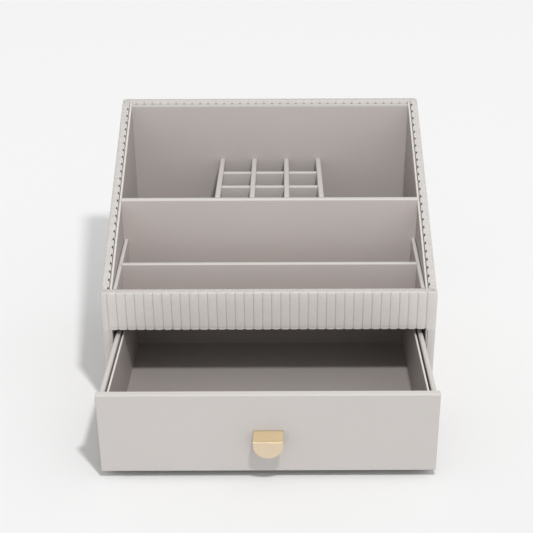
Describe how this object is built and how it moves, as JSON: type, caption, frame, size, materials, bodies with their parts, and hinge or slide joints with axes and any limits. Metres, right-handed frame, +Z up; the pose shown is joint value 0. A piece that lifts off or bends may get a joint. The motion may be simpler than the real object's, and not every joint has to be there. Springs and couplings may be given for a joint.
{
  "type": "makeup organizer",
  "caption": "Sloped ribbed leatherette organizer box with an open tray of compartments over one pull-out drawer with a brass tab.",
  "frame": {"origin": "middle of the case's footprint on the surface that it stands on, with the case without its drawer as reference", "axes": "+Z up, +X to the user's right, -Y towards the user, the way the drawer comes out"},
  "size_m": [0.25, 0.277, 0.195],
  "materials": {
    "ribbed_skin": "warm grey grained leatherette, semi-matt, in sewn-look channels",
    "smooth_skin": "warm grey grained leatherette, semi-matt, smooth",
    "lining": "grey-taupe smooth lining, matt",
    "covered_board": "board covered with grey-taupe smooth lining, matt",
    "board": "dark-stained fibreboard, matt",
    "felt": "dark short felt",
    "satin_brass": "vertically brushed, satin",
    "steel": "plain",
    "slide_strip": "smooth, low friction"
  },
  "bodies": {
    "case": {"back_board": "board", "base_board": "board", "base_felt": "felt", "bay_guide_left": "board", "bay_guide_right": "board", "cross_wall_front": "covered_board", "cross_wall_rear": "covered_board", "front_divider": "covered_board", "front_rail": "board", "grid_wall_1": "covered_board", "grid_wall_2": "covered_board", "grid_wall_3": "covered_board", "grid_wall_4": "covered_board", "liner_back": "lining", "liner_front": "lining", "liner_left": "lining", "liner_right": "lining", "main_divider": "covered_board", "runner_left": "slide_strip", "runner_right": "slide_strip", "side_board_left": "board", "side_board_right": "board", "skin_back": "ribbed_skin", "skin_front": "ribbed_skin", "skin_left": "ribbed_skin", "skin_right": "ribbed_skin", "tray_pad": "lining", "tray_shelf": "board", "tray_side_left": "covered_board", "tray_side_right": "covered_board"},
    "drawer": {"drawer_back": "covered_board", "drawer_bottom": "board", "drawer_front_board": "board", "drawer_front_skin": "smooth_skin", "drawer_liner_front": "lining", "drawer_liner_left": "lining", "drawer_liner_rear": "lining", "drawer_liner_right": "lining", "drawer_pad": "lining", "drawer_pull": "satin_brass", "drawer_side_left": "covered_board", "drawer_side_right": "covered_board", "pull_tacks": "steel"}
  },
  "joints": [
    {"name": "drawer_slide", "type": "slide", "parent": "case", "child": "drawer", "axis": [0, -1, 0], "range_m": [-0.087, 0.053]}
  ]
}
